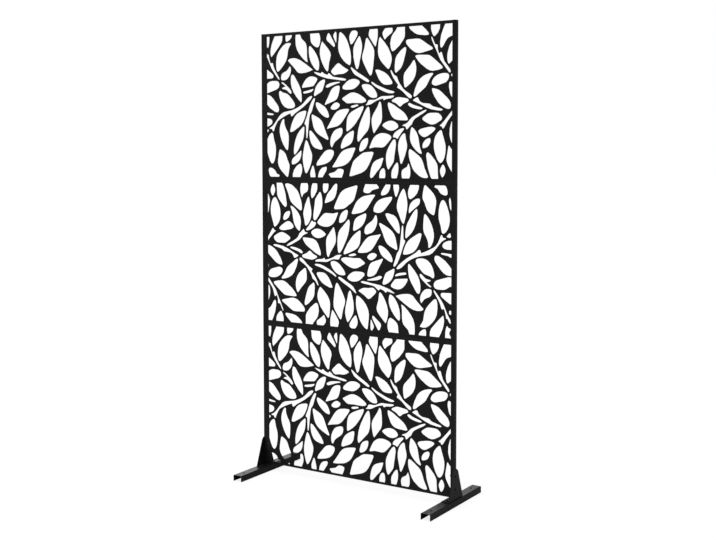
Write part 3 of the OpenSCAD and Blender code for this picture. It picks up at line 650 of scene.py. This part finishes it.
# A higher power gives the rings squarer corners
CORNER_POWER = 11
# Each ring's inset from the head's side, and its height over the head's seat, in mm.
# The plug's rings start inside it, at the floor of its hollow.
PLUG_RINGS = [(2.6, -0.8), (2.6, -12), (1.8, -12), (1.45, -11.6)]
FIN_RINGS = [(1.4, -0.6), (1.24, -0.2), (1.24, 0), (1.4, 0.4)]
FIN_DEPTHS = (9, 6, 3)
PLUG_TOP = [(1.4, 0)]
CAP_HEAD_RINGS = [(0.25, 0), (0, 0.2), (0, 1.45), (0.12, 1.75), (0.4, 1.93), (0.9, 2)]


def rounded_square(half_x, half_y):
    """Distance from the middle to the side of a square with rounded corners."""
    def reach(angle):
        x, y = abs(math.cos(angle)) / half_x, abs(math.sin(angle)) / half_y
        return (x ** CORNER_POWER + y ** CORNER_POWER) ** (-1 / CORNER_POWER)
    return reach


def make_cap(node):
    """Puts a moulded cap in the place of a measured one."""
    low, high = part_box(node)
    half = (high - low) / MM / 2
    fins = [(inset, z - depth) for depth in FIN_DEPTHS for inset, z in FIN_RINGS]
    work = bmesh.new()
    loops = [
        ring(work, 1, z, CAP_SIDES, rounded_square(half.x - inset, half.y - inset))
        for inset, z in PLUG_RINGS + fins + PLUG_TOP + CAP_HEAD_RINGS]
    cap(work, loops[0])
    skin(work, loops)
    cap(work, loops[-1])
    open_edges = sum(not e.is_manifold for e in work.edges)
    bmesh.ops.transform(work, matrix=Matrix.Scale(MM, 4), verts=work.verts)
    middle = (low + high) / 2
    seat = high.z - CAP_HEAD_RINGS[-1][1] * MM
    bmesh.ops.translate(work, vec=(middle.x, middle.y, seat), verts=work.verts)
    piece = finish_piece(work, node + "_moulded", node)
    print(piece.name, "faces:", len(piece.data.polygons), "open edges:", open_edges)


for node in ("left_top_cap", "right_top_cap"):
    make_cap(node)

# %% [markdown]
# ## Stitch welds
# Short beads of weld join each tube to the back of its sheet, in the groove where
# the tube's rounded corner meets the sheet. A bead is laid in small overlapping
# puddles, which leave a ripple every 2 mm. It needs metal on both sides, so a ray
# is sent at the sheet from behind, and a bead is laid only where every ray hits.

# %% Stitch welds
BEAD_L, BEAD_R, RIPPLE = 18, 1.5, 2
BEAD_SPACING, BEADS_A_SIDE = 90, 5
BEAD_STEPS, BEAD_SIDES = 45, 12
# A bead's ends are this share of its radius, and its ripples take this much of it
BLUNT_END, RIPPLE_DEPTH = 0.1, 0.06
# How far a bead's middle lies behind the sheet, and how far beside the tube rays test it
BEAD_LIFT, RAY_ASIDE = 0.2, 2.5
# Beads keep this far from a panel's ends, and places this far apart are tried
END_CLEAR, TRY_STEP = 24, 3
# Rays start this far behind the screen's middle, and test these points of a bead
RAY_START = 50
RAY_POINTS = (-0.5, -0.25, 0, 0.25, 0.5)


def bead_radius(along):
    """Radius at a distance from the bead's middle, with round ends."""
    to_end = BEAD_L / 2 - abs(along)
    round_end = math.sqrt(max(0, 1 - (1 - min(to_end / BEAD_R, 1)) ** 2))
    ripple = 1 - RIPPLE_DEPTH * (1 - math.cos(TWO_PI * along / RIPPLE))
    return BEAD_R * (BLUNT_END + (1 - BLUNT_END) * round_end) * ripple


def lay_bead(work, x, y, z):
    """One bead along Z, its middle at a place in mm."""
    steps = [BEAD_L * (k / BEAD_STEPS - 0.5) for k in range(BEAD_STEPS + 1)]
    loops = [ring(work, bead_radius(a), a, BEAD_SIDES) for a in steps]
    cap(work, loops[0])
    skin(work, loops)
    cap(work, loops[-1])
    points = list({p for loop in loops for edge in loop for p in edge.verts})
    to_place = Matrix.Translation(Vector((x, y, z)) * MM) @ Matrix.Scale(MM, 4)
    bmesh.ops.transform(work, matrix=to_place, verts=points)


def weld_heights(panel, x):
    """Heights in mm at which the sheet has metal all along a bead at x."""
    work = bmesh.new()
    work.from_mesh(parts[panel].data)
    sheet = BVHTree.FromBMesh(work)
    work.free()
    low, high = (corner.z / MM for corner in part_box(panel))

    def metal(z):
        return sheet.ray_cast(Vector((x, RAY_START, z)) * MM, (0, -1, 0))[0] is not None

    chosen = []
    for z in range(round(low) + END_CLEAR, round(high) - END_CLEAR, TRY_STEP):
        clear_of_last = not chosen or z - chosen[-1] > BEAD_SPACING
        if clear_of_last and all(metal(z + part * BEAD_L) for part in RAY_POINTS):
            chosen.append(z)
    return chosen[:BEADS_A_SIDE]


weld = bmesh.new()
laid = 0
for panel in ("bottom_panel", "middle_panel", "top_panel"):
    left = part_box(panel.replace("panel", "left_upright"))
    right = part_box(panel.replace("panel", "right_upright"))
    sheet_back = left[0].y / MM
    for inward, tube_side in ((1, left[1].x / MM), (-1, right[0].x / MM)):
        for z in weld_heights(panel, tube_side + inward * RAY_ASIDE):
            lay_bead(weld, tube_side, sheet_back + BEAD_LIFT, z)
            laid += 1
bmesh.ops.recalc_face_normals(weld, faces=weld.faces)
weld_shape = bpy.data.meshes.new("stitch_welds")
weld.to_mesh(weld_shape)
weld.free()
weld_shape.shade_smooth()
weld_shape.materials.append(powder_coat)
stitch_welds = bpy.data.objects.new("stitch_welds", weld_shape)
bpy.context.scene.collection.objects.link(stitch_welds)
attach(stitch_welds, "root")
print("weld beads laid:", laid, "faces:", len(weld_shape.polygons))

# %% [markdown]
# ## The studio
# The floor and the background are white, and the screen has hardly any shadow.
# The floor is therefore partly a soft glow and partly a real surface, which keeps
# a faint shadow where the feet stand.

# %% Floor
FLOOR_RADIUS = 60
# Width in mm of the floor's faint clouds, and how brightly it glows to the camera alone
FLOOR_CLOUD_W, FLOOR_GLOW = 400, 0.8


def make_floor():
    work = bmesh.new()
    bmesh.ops.create_circle(work, cap_ends=True, segments=64, radius=FLOOR_RADIUS)
    sheet = bpy.data.meshes.new("studio_floor")
    work.to_mesh(sheet)
    work.free()
    floor = bpy.data.objects.new("studio_floor", sheet)
    bpy.context.scene.collection.objects.link(floor)
    return floor


def make_floor_paint():
    """White to the camera, and grey to every other ray, so that little light comes back up."""
    made, tree, place = blank_material("pale_studio_floor")
    ray = add_node(tree, "ShaderNodeLightPath")
    soft = add_node(tree, "ShaderNodeTexNoise", inputs={
        "Vector": place, "Scale": per_size(FLOOR_CLOUD_W)})
    tone = between(tree, soft.outputs["Fac"], "#868686", "#8c8c8c")
    matt = add_node(tree, "ShaderNodeBsdfDiffuse", inputs={"Color": tone})
    share = add_node(tree, "ShaderNodeMath", {"operation": "MULTIPLY"}, {
        0: ray.outputs["Is Camera Ray"], 1: FLOOR_GLOW})
    glow = add_node(tree, "ShaderNodeEmission", inputs={"Strength": share.outputs[0]})
    both = add_node(tree, "ShaderNodeAddShader", inputs={0: matt.outputs[0], 1: glow.outputs[0]})
    add_node(tree, "ShaderNodeOutputMaterial", inputs={"Surface": both.outputs[0]})
    return made


floor = make_floor()
floor.data.materials.append(make_floor_paint())
print("floor radius in m:", FLOOR_RADIUS)

# %% [markdown]
# ## Background and lamps
# The camera sees a plain white background. What the black coat mirrors is another
# matter: in the photo the tops of the feet are brightest on the left, so the room
# that it mirrors is brightest low down on the left, and dim elsewhere. All other
# light from the room is even, and one wide soft lamp hangs overhead.

# %% Background and lamps
# The way to the room's bright side. A mirrored ray that goes fully that way scores 1,
# one across it scores 0, and between the first two scores the room brightens.
SWEEP_WAY = (-0.95, 0.3, 0.1)
FACING_FROM, FACING_TO = 0.45, 1.05
DIM_SIDE, BRIGHT_SIDE = 0.14, 2.3
# How strongly the room lights everything evenly
ROOM_LIGHT = 0.6


def make_world():
    world = bpy.data.worlds.new("studio")
    bpy.context.scene.world = world
    world.use_nodes = True
    tree = world.node_tree
    tree.nodes.clear()
    way = add_node(tree, "ShaderNodeTexCoord").outputs["Generated"]
    ray = add_node(tree, "ShaderNodeLightPath")
    facing = add_node(tree, "ShaderNodeVectorMath", {"operation": "DOT_PRODUCT"}, {
        0: way, 1: SWEEP_WAY})
    sweep = add_node(tree, "ShaderNodeMapRange", {"interpolation_type": "SMOOTHSTEP"}, {
        "Value": facing.outputs["Value"], "From Min": FACING_FROM, "From Max": FACING_TO,
        "To Min": DIM_SIDE, "To Max": BRIGHT_SIDE})
    seen = add_node(tree, "ShaderNodeMath", {"operation": "ADD"}, {
        0: ray.outputs["Is Camera Ray"], 1: ray.outputs["Is Transmission Ray"]})
    mirrored = add_node(tree, "ShaderNodeMath", {"operation": "MULTIPLY"}, {
        0: ray.outputs["Is Glossy Ray"], 1: sweep.outputs["Result"]})
    shown = add_node(tree, "ShaderNodeMath", {"operation": "MAXIMUM"}, {
        0: seen.outputs[0], 1: mirrored.outputs[0]})
    other = add_node(tree, "ShaderNodeMath", {"operation": "SUBTRACT"}, {
        0: 1.0, 1: ray.outputs["Is Glossy Ray"]})
    lit = add_node(tree, "ShaderNodeMath", {"operation": "MULTIPLY"}, {
        0: other.outputs[0], 1: ROOM_LIGHT})
    level = add_node(tree, "ShaderNodeMath", {"operation": "MAXIMUM"}, {
        0: shown.outputs[0], 1: lit.outputs[0]})
    light = add_node(tree, "ShaderNodeBackground", inputs={
        "Color": linear("#ffffff"), "Strength": level.outputs[0]})
    add_node(tree, "ShaderNodeOutputWorld", inputs={"Surface": light.outputs[0]})


def add_sun(title, strength, spread, lean, turn):
    """A lamp too far off for its place to matter. Its spread and its aim are in degrees."""
    lamp = bpy.data.lights.new(title, "SUN")
    lamp.energy = strength
    lamp.angle = math.radians(spread)
    holder = bpy.data.objects.new(title, lamp)
    holder.rotation_euler = (math.radians(lean), 0, math.radians(turn))
    bpy.context.scene.collection.objects.link(holder)


make_world()
add_sun("overhead_softbox", strength=1.3, spread=60, lean=20, turn=-20)
bpy.context.scene.view_settings.view_transform = "Standard"
